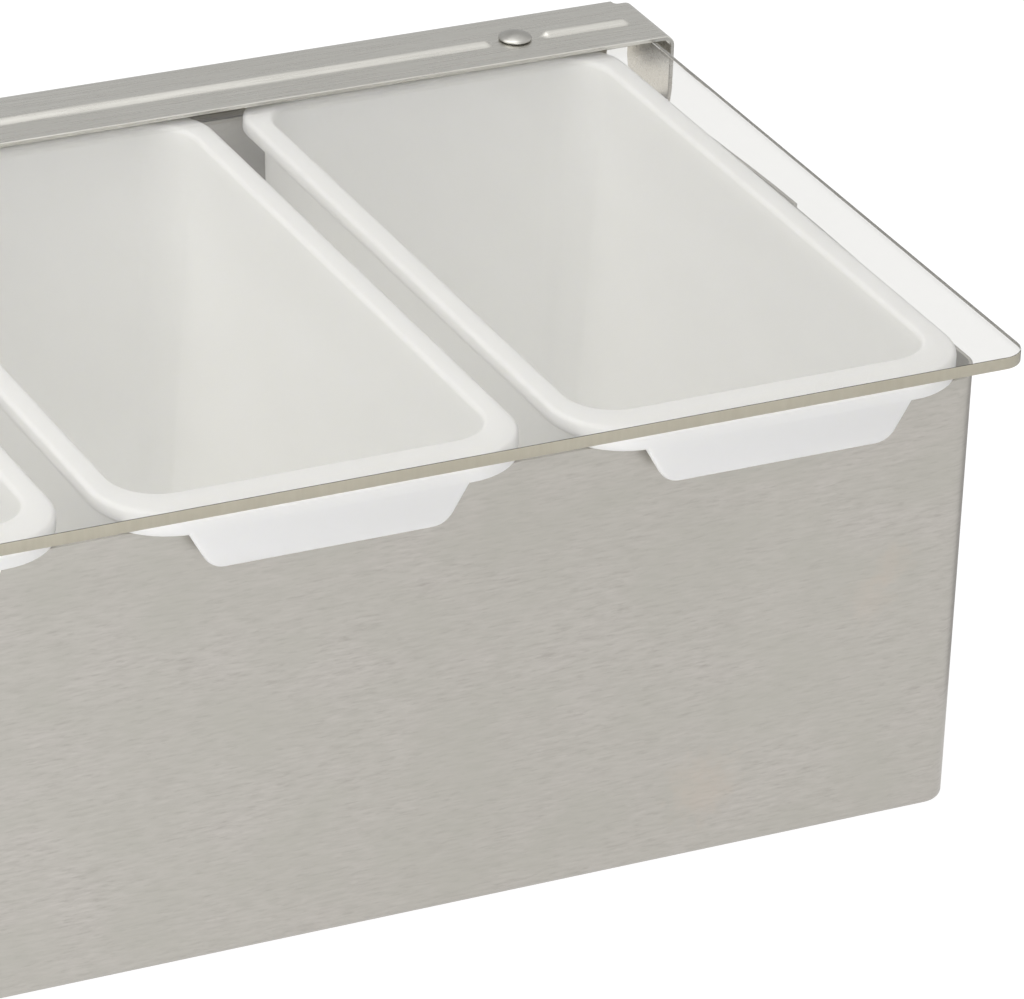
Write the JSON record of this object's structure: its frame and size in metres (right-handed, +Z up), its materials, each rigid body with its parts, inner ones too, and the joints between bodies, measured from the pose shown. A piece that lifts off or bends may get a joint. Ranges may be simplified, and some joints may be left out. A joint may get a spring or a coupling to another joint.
{
  "type": "condiment caddy",
  "caption": "Stainless steel box that holds lift-out plastic inserts for garnishes and condiments under one clear lid, hinged along the back.",
  "frame": {"origin": "centre of the footprint, on the surface that the caddy stands on", "axes": "+X along the box to its right end, +Y from the front to the hinged back, +Z up"},
  "size_m": [0.3792, 0.1712, 0.0973],
  "materials": {
    "box_steel": "brushed stainless sheet, grain along the box",
    "plate_steel": "mill-finish stainless sheet",
    "bar_steel": "brushed stainless strip, grain along the bar",
    "insert_plastic": "milky translucent polyethylene, soft sheen",
    "lid_plastic": "clear polycarbonate sheet with sawn, slightly tan edges",
    "rivet_steel": "pressed stainless, semi-bright",
    "rod_steel": "drawn stainless wire and pressed stainless strip"
  },
  "bodies": {
    "caddy": {"box_wall": "box_steel", "floor_plate": "plate_steel", "insert_1": "insert_plastic", "insert_2": "insert_plastic", "insert_3": "insert_plastic", "insert_4": "insert_plastic", "hinge_rod": "rod_steel", "rod_clip_left": "rod_steel", "rod_clip_right": "rod_steel", "rod_cap_left": "rivet_steel", "rod_cap_right": "rivet_steel"},
    "lid": {"lid_panel": "lid_plastic", "hinge_bar": "bar_steel", "lid_rivet_left": "rivet_steel", "lid_rivet_centre": "rivet_steel", "lid_rivet_right": "rivet_steel"}
  },
  "joints": [
    {"name": "lid_hinge", "type": "hinge", "parent": "caddy", "child": "lid", "pos_m": [0, 0.07305, 0.075], "axis": [-1, 0, 0], "range_deg": [0, 112]}
  ]
}
